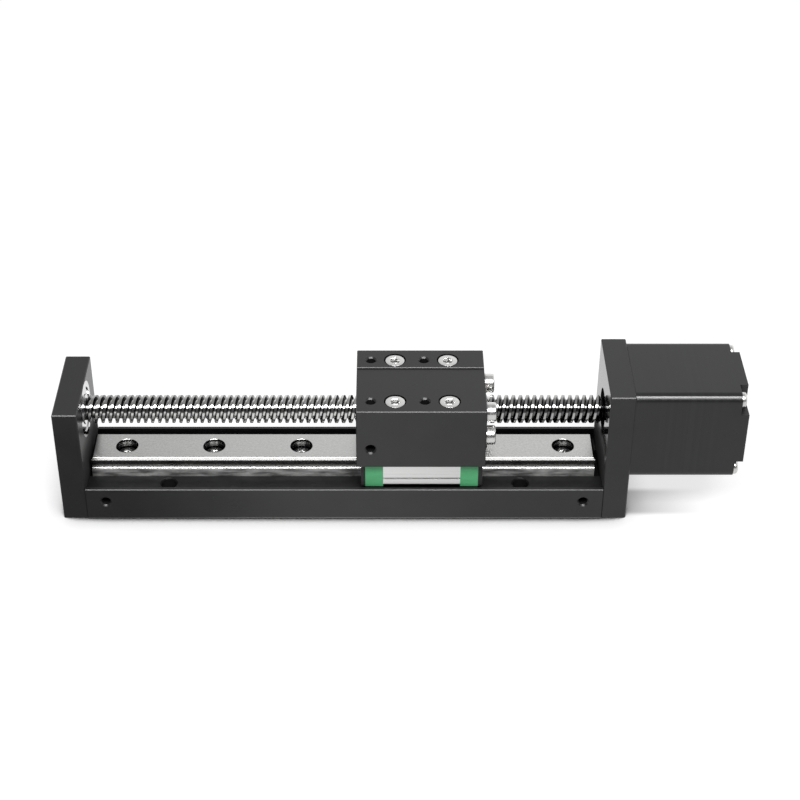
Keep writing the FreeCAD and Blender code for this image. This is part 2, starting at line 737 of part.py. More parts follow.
def rotor_stack(x0, x1, turn):
    """Toothed lamination stack pressed on the shaft."""
    corners = []
    step = 2 * math.pi / rotor_teeth
    for k in range(rotor_teeth):
        start = step * (k + turn)
        for share, radius in ((0.0, rotor_dia / 2), (0.45, rotor_dia / 2),
                              (0.5, rotor_dia / 2 - tooth_depth), (0.95, rotor_dia / 2 - tooth_depth)):
            angle = start + step * share
            corners.append(Vector(x0, radius * math.cos(angle), axis_height + radius * math.sin(angle)))
    face = Part.Face(Part.makePolygon(corners + corners[:1]))
    return face.extrude(Vector(x1 - x0, 0, 0)).cut(rod_x(x0, x1, rotor_bore))


def connector_socket():
    x0 = stator_rear + socket_inset
    y0 = motor_size / 2 - socket_embed
    z0, z1 = axis_height - socket_width / 2, axis_height + socket_width / 2
    shape = box(x0, x0 + socket_depth, y0, y0 + socket_length, z0, z1)
    return shape.cut(box(x0 + socket_wall, x0 + socket_depth - socket_wall, y0 + socket_embed,
                         y0 + socket_length, z0 + socket_wall, z1 - socket_wall))


def connector_pins():
    x = stator_rear + socket_inset + socket_depth / 2
    y0 = motor_size / 2
    y1 = y0 + socket_length - socket_embed - socket_wall
    half = pin_size / 2
    pins = []
    for k in range(pin_count):
        z = axis_height + pin_pitch * (k - (pin_count - 1) / 2)
        pins.append(box(x - half, x + half, y0, y1, z - half, z + half))
    return group(pins)


def thread_corners(x0, x1):
    """Corners of grooves with the thread's pitch, depth and flanks, which stand for its helix."""
    pitch = thread_lead / thread_starts
    count = int((x1 - x0) / pitch)
    corners = []
    for k in range(count):
        start = (x0 + x1 - count * pitch + thread_crest) / 2 + pitch * k
        end = start + pitch - thread_crest
        corners += [(start, screw_dia / 2), (start + thread_flank, thread_root_dia / 2),
                    (end - thread_flank, thread_root_dia / 2), (end, screw_dia / 2)]
    return corners


def lead_screw():
    thread, neck, journal = screw_dia / 2, neck_dia / 2, journal_dia / 2
    left, right = idle_inner + screw_end_gap, motor_inner - screw_end_gap
    tip = idle_inner - idle_bearing_width - hole_spare
    tail = rear_seat - hole_spare
    start, end = left + thread_chamfer, right - thread_chamfer
    before = [(tip, 0), (tip, journal), (idle_inner, journal), (idle_inner, neck), (left, neck),
              (left, thread - thread_chamfer), (start, thread)]
    after = [(end, thread), (right, thread - thread_chamfer), (right, neck),
             (front_seat, neck), (front_seat, journal), (tail, journal), (tail, 0)]
    return turned(before + thread_corners(start, end) + after)


parts["base_channel"] = base_channel()
parts["idle_end_plate"] = idle_end_plate()
parts["motor_plate"] = motor_plate()
parts["plate_screws"] = plate_screws()
parts["guide_rail"] = guide_rail()
parts["rail_screws"] = rail_screws()
parts["guide_block"] = guide_block()
parts["guide_end_left"] = guide_end(-1)
parts["guide_end_right"] = guide_end(1)
parts["guide_seal_left"] = guide_seal(-1)
parts["guide_seal_right"] = guide_seal(1)
parts["end_cap_screws"] = end_cap_screws()
parts["guide_balls"] = guide_balls()
parts["carriage_block"] = carriage_block()
parts["carriage_screws"] = carriage_screws()
parts["lead_nut"] = lead_nut()
parts["nut_screws"] = nut_screws()
parts["lead_screw"] = lead_screw()
bearing("idle_bearing", idle_inner - idle_bearing_width, idle_bearing_dia, idle_bearing_width,
        idle_ball_dia, idle_ball_count, True)
bearing("front_bearing", front_seat, motor_bearing_dia, motor_bearing_width,
        motor_ball_dia, motor_ball_count, False)
rear_bearing_x = rear_seat - washer_thick - motor_bearing_width
bearing("rear_bearing", rear_bearing_x, motor_bearing_dia, motor_bearing_width,
        motor_ball_dia, motor_ball_count, False)
parts["motor_front_cap"] = motor_front_cap()
parts["motor_rear_cap"] = motor_rear_cap()
parts["motor_screws"] = motor_screws()
parts["wave_washer"] = ring_x(rear_seat - washer_thick, rear_seat,
                              motor_bearing_dia / 2 - washer_width, motor_bearing_dia / 2 - fit_gap)
parts["stator_core"] = stator_core()
parts["stator_insulator_front"] = stator_insulator(stator_front - insulator_thick, stator_front)
parts["stator_insulator_rear"] = stator_insulator(stator_rear, stator_rear + insulator_thick)
parts["stator_coils"] = stator_coils()
rotor_middle = (stator_front + stator_rear) / 2
magnet_front, magnet_rear = rotor_middle - magnet_len / 2, rotor_middle + magnet_len / 2
parts["rotor_stack_front"] = rotor_stack(magnet_front - rotor_stack_len, magnet_front, 0.0)
parts["rotor_stack_rear"] = rotor_stack(magnet_rear, magnet_rear + rotor_stack_len, 0.5)
parts["rotor_magnet"] = ring_x(magnet_front, magnet_rear, rotor_bore, magnet_dia / 2)
parts["connector_socket"] = connector_socket()
parts["connector_pins"] = connector_pins()

os.makedirs("parts", exist_ok=True)
for name, shape in parts.items():
    shape.exportStep("parts/" + name + ".step")
    print(name, len(shape.Solids), round(shape.Volume, 1), shape.isValid())
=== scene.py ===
"""Finish of a lead screw actuator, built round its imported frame. Metres. X runs along the screw,
Y away from the viewer, Z up."""
import bmesh
import bpy
import json
import math
import random
from mathutils import Euler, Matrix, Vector


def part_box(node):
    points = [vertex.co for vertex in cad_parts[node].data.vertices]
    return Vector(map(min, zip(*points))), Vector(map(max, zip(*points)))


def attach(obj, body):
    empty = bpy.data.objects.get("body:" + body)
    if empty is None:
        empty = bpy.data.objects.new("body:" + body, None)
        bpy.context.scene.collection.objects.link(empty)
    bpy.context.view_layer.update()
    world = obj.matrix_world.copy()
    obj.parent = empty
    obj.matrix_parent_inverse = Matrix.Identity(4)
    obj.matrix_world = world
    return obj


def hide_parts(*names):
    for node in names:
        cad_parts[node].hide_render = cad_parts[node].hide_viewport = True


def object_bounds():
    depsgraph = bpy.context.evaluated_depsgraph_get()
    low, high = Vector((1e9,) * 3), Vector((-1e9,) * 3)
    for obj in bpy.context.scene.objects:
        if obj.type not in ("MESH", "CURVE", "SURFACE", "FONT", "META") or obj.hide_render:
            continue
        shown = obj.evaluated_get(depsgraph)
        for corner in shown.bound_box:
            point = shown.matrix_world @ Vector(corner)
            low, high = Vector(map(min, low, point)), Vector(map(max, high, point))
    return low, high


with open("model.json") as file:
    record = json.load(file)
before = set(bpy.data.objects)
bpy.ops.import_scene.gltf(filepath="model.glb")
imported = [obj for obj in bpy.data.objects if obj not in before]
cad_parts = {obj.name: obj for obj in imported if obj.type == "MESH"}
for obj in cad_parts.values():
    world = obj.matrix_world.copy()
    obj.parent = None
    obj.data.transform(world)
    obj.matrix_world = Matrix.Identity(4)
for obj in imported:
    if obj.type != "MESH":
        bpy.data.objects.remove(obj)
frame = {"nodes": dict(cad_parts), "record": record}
cad_low, cad_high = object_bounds()
nodes = frame["nodes"]

mm = 0.001
rng = random.Random(11)

# Thread: two starts, left hand
thread_lead = 4 * mm
thread_starts = 2
thread_root = 2.7 * mm          # radius
crest_share = 9 / 24            # of one pitch
flank_share = 4 / 24
thread_end_gap = 0.4 * mm       # thread end to end plate
neck_radius = 3.2 * mm
journal_radius = 2.5 * mm
cells_per_pitch = 24
thread_columns = 44

# Socket head screws
cap_head = {"height": 3.0 * mm, "across": 2.5 * mm, "depth": 1.5 * mm, "round": 0.10 * mm}
soft_head = {"height": 3.0 * mm, "across": 2.5 * mm, "depth": 1.5 * mm, "round": 0.50 * mm}
low_head = {"height": 2.0 * mm, "across": 2.0 * mm, "depth": 1.1 * mm, "round": 0.15 * mm}
head_radius = 2.75 * mm
m3_radius = 1.5 * mm
knurl_depth = 0.018 * mm
screw_columns = 96

# Pan head screws
motor_pan = {"radius": 2.2 * mm, "height": 1.4 * mm, "shank": 1.25 * mm}
cap_pan = {"radius": 1.8 * mm, "height": 1.0 * mm, "shank": 1.0 * mm}

# Places that the finishes know
channel_floor = 8.4 * mm
channel_half = 13.8 * mm        # inside of the base's walls
rail_bore_radius = 3.0 * mm
plate_inside = 73.0 * mm        # inner faces of the end plates
plate_rise = (14 * mm, 24 * mm)  # heights between which those faces turn from rough to smooth

# Finishes with a place. Four numbers are a start, an end and the value at each, except in a colour
# painted shade: reflection turned down on the channel floor and further in its holes
painted_shade_specular = 0.26          # on the channel floor
painted_shade_specular_holes = 0.04
plate_rough = 0.9
plate_polished = 0.10           # on the motor's side
# painted light and shade bands down the rail's sides by depth below its top, painted shade near its foot and
# in its bores
rail_painted_bands = ((0.02, 1.0), (0.10, 0.13), (0.50, 0.13), (0.62, 1.0), (1.3, 0.8), (1.5, 0.2),
               (2.5, 0.2), (2.9, 0.9), (3.9, 1.0), (5.4, 1.0))  # mm below the top, share of colour
rail_foot_painted_shade = 0.3
bore_painted_shade = (0.3 * mm, 0.5 * mm, 0.10, 0.30)
# painted shade in the screws' recesses, from ambient occlusion: its reach and tones
recess_shade_reach = 1.4 * mm
recess_shade_tones = (0.30, 0.85, 0.08, 1.0)
# painted highlight line along the motor's upper front edge, on its rounding: its place, width and colour
highlight_down = 0.50 * mm           # from the motor's top
highlight_back = 1.0 * mm            # from its front
highlight_width = (0.12 * mm, 0.32 * mm)
highlight_colour = (0.30, 0.30, 0.30, 1)
# painted shade on the thread: dark flanks, more on those that face left, and on the part right of the
# carriage
flank_painted_shade = ((0.04, 0.30), (0.93, 0.22))  # share of the thread's height, share of colour
left_flank_painted_shade = (-0.6, -0.2, 0.14, 1.0)
thread_crest = (0.90, 0.96, 0.0, 1.0)
right_part_painted_shade = (5 * mm, 40 * mm)

# Camera fitted to the photograph
camera_place = (11.773 * mm, -418.324 * mm, 333.270 * mm)
camera_pitch = math.radians(35.86)
focal_pixels = 1831.949
image_width = 800
principal_x = 386.03
sensor = 36.0

# Studio
key_elevation = math.radians(58)
key_azimuth = math.radians(4)
key_distance = 1.2
key_width = 1.15
key_height = 0.40
key_power = 19.0
key_aim = (0.015, 0, 0.02)

# Floor: painted contact shadow from ambient occlusion, painted soft shadow patch under the motor, tones for
# camera, light and gloss
floor_size = 4.0
floor_gap = 0.02 * mm
floor_matt = (0.80, 0.80, 0.80, 1)
floor_paper = 0.28
floor_glow = 0.76
contact_reach = 9 * mm
contact_closed = 0.53           # open share at the object's foot
contact_wide = 0.30
contact_close = 0.66
contact_power = 15.0
shadow_patch_front = (-14 * mm, -11.5 * mm, 0.0, 1.0)
shadow_patch_back = (-3 * mm, -0.3 * mm, 1.0, 0.0)
shadow_patch_left = (72 * mm, 76 * mm, 0.0, 1.0)
shadow_patch_right = (76 * mm, 110 * mm, 0.52, 0.0)
mirrored_front = -22 * mm
mirrored_back = -10 * mm
mirrored_left = (-65 * mm, -5 * mm, 0.25, 0.97)
mirrored_right = (0.0, 60 * mm, 1.0, 0.76)

# World, as gloss sees it, by direction
world_side = (-0.2, -0.05, 0.55, 0.95)
world_above = (0.45, 0.95, 1.0, 0.42)
world_front = (0.0, 0.22, 0.32, 0.08)
world_turn = (-0.45, -0.10, 0.0, 1.0)  # from front to back
world_fill = 0.30


# Material building
def added(tree, kind, inputs=None, **settings):
    """New node with its settings and unlinked inputs set."""
    node = tree.nodes.new(kind)
    for name, value in settings.items():
        setattr(node, name, value)
    for key, value in (inputs or {}).items():
        node.inputs[key].default_value = value
    return node


def linked(tree, node, output, target, socket):
    tree.links.new(node.outputs[output], target.inputs[socket])
    return target


def finish_material(name, colour, roughness, metallic=0.0, specular=0.5):
    material = bpy.data.materials.new(name)
    material.use_nodes = True
    tree = material.node_tree
    shader = tree.nodes["Principled BSDF"]
    shader.inputs["Base Color"].default_value = (*colour, 1)
    shader.inputs["Roughness"].default_value = roughness
    shader.inputs["Metallic"].default_value = metallic
    shader.inputs["Specular IOR Level"].default_value = specular
    return material, tree, shader


def pattern(tree, scale, stretch=(1, 1, 1), detail=3.0):
    """Noise on Object coordinates, drawn out by a stretch along each axis."""
    place = added(tree, "ShaderNodeTexCoord")
    mapping = added(tree, "ShaderNodeMapping", {"Scale": stretch})
    noise = added(tree, "ShaderNodeTexNoise", {"Scale": scale, "Detail": detail})
    linked(tree, place, "Object", mapping, "Vector")
    linked(tree, mapping, "Vector", noise, "Vector")
    return noise


def ranges(start, end, low, high):
    """Inputs of a map range node."""
    return {"From Min": start, "From Max": end, "To Min": low, "To Max": high}


def spread(tree, source, output, low, high, start=0.3, end=0.7):
    """Map a 0..1 pattern to a range of values."""
    node = added(tree, "ShaderNodeMapRange", ranges(start, end, low, high))
    return linked(tree, source, output, node, "Value")


def tinted(tree, source, output, dark, light, start=0.3, end=0.7):
    """Map a 0..1 pattern to a colour between two others."""
    node = added(tree, "ShaderNodeValToRGB")
    node.color_ramp.elements[0].position = start
    node.color_ramp.elements[0].color = (*dark, 1)
    node.color_ramp.elements[1].position = end
    node.color_ramp.elements[1].color = (*light, 1)
    return linked(tree, source, output, node, "Fac")


def raised(tree, shader, source, output, height):
    """Relief from a 0..1 pattern."""
    bump = added(tree, "ShaderNodeBump", {"Distance": height, "Strength": 1.0})
    linked(tree, source, output, bump, "Height")
    linked(tree, bump, "Normal", shader, "Normal")


def fed(tree, node, inputs):
    """Link each input that is a socket, set each that is a number."""
    for key, value in inputs.items():
        if isinstance(value, bpy.types.NodeSocket):
            tree.links.new(value, node.inputs[key])
        elif value is not None:
            node.inputs[key].default_value = value
    return node


def calculated(tree, operation, a, b=None, c=None):
    """Math node on sockets or numbers."""
    node = added(tree, "ShaderNodeMath", operation=operation)
    return fed(tree, node, {0: a, 1: b, 2: c}).outputs[0]


def blended(tree, share, a, b):
    """Value from a to b, by a share. Each is a socket or a number."""
    node = added(tree, "ShaderNodeMix", data_type="FLOAT")
    return fed(tree, node, {"Factor": share, "A": a, "B": b}).outputs["Result"]


def graded(tree, value, start, end, low, high):
    """Smooth change of a value from low to high between start and end."""
    node = added(tree, "ShaderNodeMapRange", ranges(start, end, low, high), interpolation_type="SMOOTHSTEP")
    tree.links.new(value, node.inputs["Value"])
    return node.outputs["Result"]


def located(tree):
    """Object coordinates, one output for each axis."""
    place = added(tree, "ShaderNodeTexCoord")
    return linked(tree, place, "Object", added(tree, "ShaderNodeSeparateXYZ"), "Vector").outputs


def darkened(tree, shader, factor):
    """Multiply what feeds the base colour by a factor."""
    mixed = added(tree, "ShaderNodeMix", {"Factor": 1.0}, data_type="RGBA", blend_type="MULTIPLY")
    tree.links.new(shader.inputs["Base Color"].links[0].from_socket, mixed.inputs["A"])
    tree.links.new(factor, mixed.inputs["B"])
    tree.links.new(mixed.outputs["Result"], shader.inputs["Base Color"])


def scaled(colour, share):
    return tuple(c * share for c in colour)


def blasted_anodising(name, colour, roughness, grain=5200.0, height=0.0016 * mm):
    """Dark anodised or painted metal: fine grain, faint clouds, slight change of gloss. Reflection turned
    down inside the channel and further in its holes, as painted shade. On the end plates' inner faces rough
    low down, and polished higher up on the motor's side."""
    material, tree, shader = finish_material(name, colour, roughness)
    clouds = pattern(tree, 90.0, detail=4.0)
    grains = pattern(tree, grain, detail=2.0)
    tint = tinted(tree, clouds, "Fac", scaled(colour, 0.85), scaled(colour, 1.18))
    linked(tree, tint, "Color", shader, "Base Color")
    gloss = spread(tree, clouds, "Fac", roughness - 0.03, roughness + 0.04)
    raised(tree, shader, grains, "Fac", height)
    at = located(tree)
    # painted shade: less reflection inside the channel, least in its holes
    above = graded(tree, at["Z"], channel_floor + 1.0 * mm, channel_floor + 1.5 * mm, 0.0, 1.0)
    aside = calculated(tree, "ABSOLUTE", at["Y"])
    outside = graded(tree, aside, channel_half, channel_half + 0.1 * mm, 0.0, 1.0)
    clear = calculated(tree, "MAXIMUM", above, outside)
    inside = graded(tree, at["Z"], channel_floor - 0.05 * mm, channel_floor - 0.01 * mm,
                    painted_shade_specular_holes, painted_shade_specular)
    specular = blended(tree, clear, inside, 0.5)
    tree.links.new(specular, shader.inputs["Specular IOR Level"])
    off_middle = calculated(tree, "ABSOLUTE", at["X"])
    inner_face = calculated(tree, "COMPARE", off_middle, plate_inside, 0.05 * mm)
    polished = graded(tree, at["X"], 0.0, 1.0 * mm, roughness, plate_polished)
    upwards = blended(tree, graded(tree, at["Z"], *plate_rise, 0.0, 1.0), plate_rough, polished)
    rough = blended(tree, inner_face, gloss.outputs["Result"], upwards)
    tree.links.new(rough, shader.inputs["Roughness"])
    return material


def ground_steel(name, colour, roughness, stretch, depth=0.35, height=0.0012 * mm):
    """Ground or drawn metal: streaks along one axis in colour, gloss and relief."""
    material, tree, shader = finish_material(name, colour, roughness, metallic=1.0)
    streaks = pattern(tree, 1.0, stretch=stretch, detail=5.0)
    tint = tinted(tree, streaks, "Fac", scaled(colour, 1 - depth / 2), scaled(colour, 1 + depth / 4))
    linked(tree, tint, "Color", shader, "Base Color")
    gloss = spread(tree, streaks, "Fac", roughness * 0.85, roughness * 1.2)
    linked(tree, gloss, "Result", shader, "Roughness")
    raised(tree, shader, streaks, "Fac", height)
    return material


def ground_rail(name, colour, roughness):
    """Ground rail with painted shade in its bores and ball grooves, painted light and shade bands down its
    sides, painted blotchy reflections on its lower sides and painted shade at its left end.
    """
    material = ground_steel(name, colour, roughness, (1500, 2300, 2300), depth=0.25)
    tree = material.node_tree
    shader = tree.nodes["Principled BSDF"]
    low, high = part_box("guide_rail")
    at = located(tree)
    depth = calculated(tree, "SUBTRACT", high.z, at["Z"])
    aside = calculated(tree, "ABSOLUTE", at["Y"])
    # painted shade in the bores and on their chamfered mouths
    beside = graded(tree, aside, rail_bore_radius + 0.3 * mm, rail_bore_radius + 0.5 * mm, 0.0, 1.0)
    mouth = graded(tree, depth, 0.02 * mm, 0.08 * mm, 1.0, 0.0)
    in_bore = graded(tree, depth, *bore_painted_shade)
    painted_bore_mask = calculated(tree, "MAXIMUM", calculated(tree, "MAXIMUM", beside, mouth), in_bore)
    # painted light and shade bands by depth below the rail's top
    shade = added(tree, "ShaderNodeValToRGB")
    ramp = shade.color_ramp.elements
    ramp[0].position, ramp[1].position = 0.0, 1.0
    for stop, part in rail_painted_bands:
        element = ramp.new(stop * mm / (high.z - low.z))
        element.color = (part, part, part, 1)
    ramp[0].color, ramp[-1].color = (1, 1, 1, 1), (rail_foot_painted_shade, rail_foot_painted_shade, rail_foot_painted_shade, 1)
    tree.links.new(calculated(tree, "DIVIDE", depth, high.z - low.z), shade.inputs["Fac"])
    # painted blotchy reflections on the lower sides
    reflection_blotches = pattern(tree, 1.0, stretch=(130, 0, 700), detail=4.0)
    patchy_reflection = spread(tree, reflection_blotches, "Fac", 0.25, 1.0, 0.38, 0.62)
    lower = graded(tree, depth, 3.75 * mm, 3.95 * mm, 0.0, 1.0)
    painted_side_reflections = blended(tree, lower, 1.0, patchy_reflection.outputs["Result"])
    tree.links.new(graded(tree, lower, 0.0, 1.0, 1.0, 0.5), shader.inputs["Metallic"])
    # painted shade at the rail's left end
    end = graded(tree, at["X"], low.x, low.x + 2.2 * mm, 0.4, 1.0)
    for factor in (painted_bore_mask, shade.outputs["Color"], painted_side_reflections, end):
        darkened(tree, shader, factor)
    return material


def polished_metal(name, colour, roughness):
    material, tree, shader = finish_material(name, colour, roughness, metallic=1.0)
    marks = pattern(tree, 1500.0, detail=4.0)
    tint = tinted(tree, marks, "Fac", scaled(colour, 0.9), scaled(colour, 1.05))
    linked(tree, tint, "Color", shader, "Base Color")
    gloss = spread(tree, marks, "Fac", roughness * 0.8, roughness * 1.3)
    linked(tree, gloss, "Result", shader, "Roughness")
    raised(tree, shader, marks, "Fac", 0.0006 * mm)
    return material


def screw_plating(name, colour, roughness):
    """Polished metal with painted shade in its recesses, darkened by ambient occlusion."""
    material = polished_metal(name, colour, roughness)
    tree = material.node_tree
    # painted shade: darker where ambient occlusion finds recesses
    near = added(tree, "ShaderNodeAmbientOcclusion", {"Distance": recess_shade_reach}, samples=12)
    darkened(tree, tree.nodes["Principled BSDF"], graded(tree, near.outputs["AO"], *recess_shade_tones))
    return material


def moulded_plastic(name, colour, roughness, specular=0.5):
    material, tree, shader = finish_material(name, colour, roughness, specular=specular)
    flow = pattern(tree, 260.0, stretch=(1, 1, 2.5), detail=3.0)
    skin = pattern(tree, 3800.0, detail=2.0)
    tint = tinted(tree, flow, "Fac", scaled(colour, 0.9), scaled(colour, 1.08))
    linked(tree, tint, "Color", shader, "Base Color")
    gloss = spread(tree, skin, "Fac", roughness - 0.05, roughness + 0.07)
    linked(tree, gloss, "Result", shader, "Roughness")
    raised(tree, shader, skin, "Fac", 0.002 * mm)
    return material


def wound_copper(name, colour, roughness, wire=0.25 * mm):
    """Turns of enamelled wire, as slanting round bands, painted darker between the turns as shade."""
    material, tree, shader = finish_material(name, colour, roughness, metallic=1.0)
    place = added(tree, "ShaderNodeTexCoord")
    bands = added(tree, "ShaderNodeTexWave", {"Scale": 0.314 / wire, "Distortion": 0.4},
                  wave_type="BANDS", bands_direction="DIAGONAL", wave_profile="SIN")
    linked(tree, place, "Object", bands, "Vector")
    # painted shade between the turns of wire
    tint = tinted(tree, bands, "Fac", scaled(colour, 0.45), colour, start=0.0, end=0.6)
    linked(tree, tint, "Color", shader, "Base Color")
    raised(tree, shader, bands, "Fac", 0.05 * mm)
    return material


def painted_edge_highlight(tree, shader):
    """Painted highlight: a light line along the motor's upper front edge, on its rounding."""
    low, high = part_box("stator_core")
    at = located(tree)
    down = calculated(tree, "ABSOLUTE", calculated(tree, "SUBTRACT", at["Z"], high.z - highlight_down))
    back = calculated(tree, "ABSOLUTE", calculated(tree, "SUBTRACT", at["Y"], low.y + highlight_back))
    highlight_mix = added(tree, "ShaderNodeMix", {"B": highlight_colour}, data_type="RGBA")
    highlight_line = graded(tree, calculated(tree, "ADD", down, back), *highlight_width, 1.0, 0.0)
    tree.links.new(highlight_line, highlight_mix.inputs["Factor"])
    tree.links.new(shader.inputs["Base Color"].links[0].from_socket, highlight_mix.inputs["A"])
    tree.links.new(highlight_mix.outputs["Result"], shader.inputs["Base Color"])


def stacked_laminations(name, colour, roughness, sheet=0.5 * mm, metallic=0.0):
    """Painted edges of stamped sheets: a band of its own tone for each sheet."""
    material, tree, shader = finish_material(name, colour, roughness, metallic=metallic)
    number = calculated(tree, "FLOOR", calculated(tree, "DIVIDE", located(tree)["X"], sheet))
    tone = added(tree, "ShaderNodeTexWhiteNoise", noise_dimensions="1D")
    tree.links.new(number, tone.inputs["W"])
    tint = tinted(tree, tone, "Value", scaled(colour, 0.88), scaled(colour, 1.15), start=0.0, end=1.0)
    linked(tree, tint, "Color", shader, "Base Color")
    gloss = spread(tree, tone, "Value", roughness - 0.02, roughness + 0.02, 0.0, 1.0)
    linked(tree, gloss, "Result", shader, "Roughness")
    grains = pattern(tree, 4200.0, stretch=(2.5, 1, 1), detail=2.0)
    raised(tree, shader, grains, "Fac", 0.002 * mm)
    # adds the painted highlight line along the motor's upper front edge
    painted_edge_highlight(tree, shader)
    return material


def painted_motor(name, colour, roughness):
    material = blasted_anodising(name, colour, roughness, grain=3400.0, height=0.003 * mm)
    # adds the painted highlight line along the motor's upper front edge
    painted_edge_highlight(material.node_tree, material.node_tree.nodes["Principled BSDF"])
    return material


def rolled_thread(name, colour, roughness):
    """Bright crests and roots with flanks painted dark as shade, told apart by their distance from the
    screw's axis.
    The flanks that face left get more painted shade, by their normal. So does the part right of the carriage,
    its crests less so."""
    low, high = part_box("lead_screw")
    material, tree, shader = finish_material(name, colour, roughness, metallic=1.0)
    place = added(tree, "ShaderNodeTexCoord")
    axis = (low.z + high.z) / 2
    centred = added(tree, "ShaderNodeMapping", {"Location": (0, 0, -axis), "Scale": (0, 1, 1)})
    reach = added(tree, "ShaderNodeVectorMath", operation="LENGTH")
    linked(tree, place, "Object", centred, "Vector")
    linked(tree, centred, "Vector", reach, 0)
    share = added(tree, "ShaderNodeMapRange", {"From Min": thread_root, "From Max": (high.z - low.z) / 2})
    linked(tree, reach, "Value", share, "Value")
    ramp = added(tree, "ShaderNodeValToRGB")
    ramp.color_ramp.elements[0].position = 0.0
    ramp.color_ramp.elements[0].color = (*scaled(colour, 0.9), 1)
    ramp.color_ramp.elements[1].position = 1.0
    ramp.color_ramp.elements[1].color = (*colour, 1)
    # painted shade on the flanks
    for position, part in flank_painted_shade:
        stop = ramp.color_ramp.elements.new(position)
        stop.color = (*scaled(colour, part), 1)
    linked(tree, share, "Result", ramp, "Fac")
    linked(tree, ramp, "Color", shader, "Base Color")
    drawn = pattern(tree, 1.0, stretch=(1400, 60, 60), detail=4.0)
    darkened(tree, shader, tinted(tree, drawn, "Fac", (0.8, 0.8, 0.8), (1, 1, 1)).outputs["Color"])
    facing = linked(tree, place, "Normal", added(tree, "ShaderNodeSeparateXYZ"), "Vector")
    # painted shade on the flanks that face left
    darkened(tree, shader, graded(tree, facing.outputs["X"], *left_flank_painted_shade))
    along = located(tree)["X"]
    # painted shade right of the carriage, lighter on the crests
    right_shade = graded(tree, along, *right_part_painted_shade, 1.0, 0.3)
    outer = graded(tree, share.outputs["Result"], *thread_crest)
    darkened(tree, shader, calculated(tree, "MAXIMUM", right_shade, outer))
    darkened(tree, shader, graded(tree, along, *right_part_painted_shade, 1.0, 0.75))
    raised(tree, shader, drawn, "Fac", 0.0006 * mm)
    return material


def make_finishes():
    along = (30, 2600, 2600)
    black = (0.010, 0.010, 0.0103)
    return {
        "black_anodised": blasted_anodising("black_anodised", black, 0.30),
        "motor_black": painted_motor("motor_black", black, 0.30),
        "lamination_black": stacked_laminations("lamination_black", black, 0.30),
        "rail_steel": ground_rail("rail_steel", (0.66, 0.66, 0.65), 0.22),
        "guide_steel": ground_steel("guide_steel", (0.73, 0.73, 0.725), 0.30, along, depth=0.15),
        "green_plastic": moulded_plastic("green_plastic", (0.045, 0.26, 0.105), 0.38),
        "seal_rubber": moulded_plastic("seal_rubber", (0.012, 0.012, 0.012), 0.6, specular=0.35),
        "bright_screws": screw_plating("bright_screws", (0.82, 0.82, 0.81), 0.26),
        "thread_steel": rolled_thread("thread_steel", (0.78, 0.78, 0.77), 0.13),
        "bearing_steel": polished_metal("bearing_steel", (0.72, 0.72, 0.72), 0.12),
        "nut_brass": polished_metal("nut_brass", (0.62, 0.54, 0.40), 0.32),
        "copper_wire": wound_copper("copper_wire", (0.75, 0.34, 0.17), 0.3),
        "insulator_plastic": moulded_plastic("insulator_plastic", (0.72, 0.70, 0.62), 0.5),
        "magnet": moulded_plastic("magnet", (0.10, 0.10, 0.11), 0.45),
        "core_steel": stacked_laminations("core_steel", (0.33, 0.33, 0.34), 0.4, metallic=1.0),
        "socket_plastic": moulded_plastic("socket_plastic", (0.78, 0.77, 0.70), 0.42),
    }


finishes = make_finishes()
slot_of = {row["node"]: row["material_slot"] for row in frame["record"]["subparts"]}


def dress_cad_nodes():
    for name, node in nodes.items():
        node.data.materials.clear()
        node.data.materials.append(finishes[slot_of[name]])


# Meshes
def object_of(mesh, name):
    piece = bpy.data.objects.new(name, mesh)
    bpy.context.scene.collection.objects.link(piece)
    return piece


def mesh_of(bm, name, sharp=35.0):
    """Smooth mesh, with edges over the sharp angle kept. It frees the bmesh."""
    bmesh.ops.recalc_face_normals(bm, faces=bm.faces)
    mesh = bpy.data.meshes.new(name)
    bm.to_mesh(mesh)
    bm.free()
    mesh.shade_smooth()
    mesh.set_sharp_from_angle(angle=math.radians(sharp))
    return mesh


def add_ring(bm, point, columns):
    return [bm.verts.new(point(2 * math.pi * k / columns)) for k in range(columns)]


def bridge(bm, a, b):
    count = len(a)
    for k in range(count):
        bm.faces.new((a[k], a[(k + 1) % count], b[(k + 1) % count], b[k]))


def add_turned(bm, rings, columns, place):
    """Closed skin through rings of (height, radius), where a radius may be a function of the angle.
    place turns a local point into one of the frame."""
    made = []
    for height, radius in rings:
        def point(angle, height=height, radius=radius):
            r = radius(angle) if callable(radius) else radius
            return place((r * math.cos(angle), r * math.sin(angle), height))
        made.append(add_ring(bm, point, columns))
    for low, high in zip(made, made[1:]):
        bridge(bm, low, high)
    for ring, height in ((made[0], rings[0][0]), (made[-1], rings[-1][0])):
        middle = bm.verts.new(place((0, 0, height)))
        for k in range(columns):
            bm.faces.new((ring[k], ring[(k + 1) % columns], middle))


def hexagon(across):
    """Radius of a hexagon at an angle, from its width across flats."""
    def radius(angle):
        part = (angle + math.pi / 6) % (math.pi / 3) - math.pi / 6
        return across / 2 / math.cos(part)
    return radius


def cross(arm, half):
    """Radius of a cross recess at an angle, from its arm length and half width."""
    def radius(angle):
        part = (angle + math.pi / 4) % (math.pi / 2) - math.pi / 4
        if abs(math.tan(part)) * arm < half:
            return arm / math.cos(part)
        return half / abs(math.sin(part))
    return radius


def knurled(radius, teeth):
    def at(angle):
        return radius - knurl_depth * (0.5 - 0.5 * math.cos(angle * teeth))
    return at


